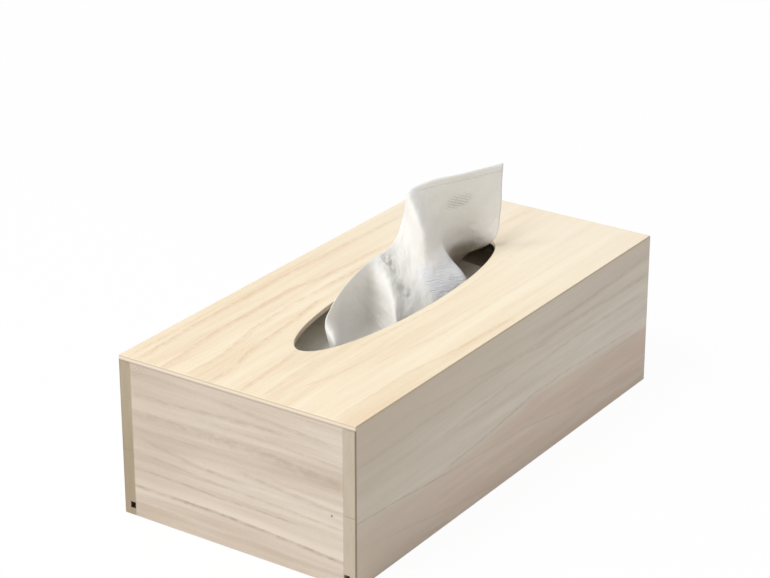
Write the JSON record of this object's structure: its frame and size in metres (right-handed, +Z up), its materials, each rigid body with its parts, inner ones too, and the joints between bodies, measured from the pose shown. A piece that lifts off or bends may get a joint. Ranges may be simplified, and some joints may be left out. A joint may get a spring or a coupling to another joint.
{
  "type": "wooden tissue box",
  "caption": "Plain rectangular wooden tissue box with an oval opening in its top, a thin bottom that slides out at one end, and a stack of tissues with one drawn up through the opening.",
  "frame": {"origin": "centre of the base, on the surface that the box stands on", "axes": "+X along the box, the way its bottom slides out; +Y across it; +Z up through the oval opening"},
  "size_m": [0.26, 0.13, 0.1241],
  "materials": {
    "top_wood": "bare, sanded smooth, fine straight grain",
    "side_wood": "bare, sanded smooth, broad figured grain",
    "end_wood": "bare, sanded smooth",
    "bottom_wood": "bare thin panel",
    "stack_paper": "soft matte, layered edges",
    "sheet_paper": "soft matte, lightly embossed"
  },
  "bodies": {
    "box": {"top_panel": "top_wood", "front_board": "side_wood", "rear_board": "side_wood", "closed_end_board": "end_wood", "exit_end_board": "end_wood", "tissue_stack": "stack_paper", "tissue_sheet": "sheet_paper"},
    "bottom": {"bottom_panel": "bottom_wood", "end_strip": "end_wood"}
  },
  "joints": [
    {"name": "bottom_slide", "type": "slide", "parent": "box", "child": "bottom", "axis": [1, 0, 0], "range_m": [0, 0.24]}
  ]
}
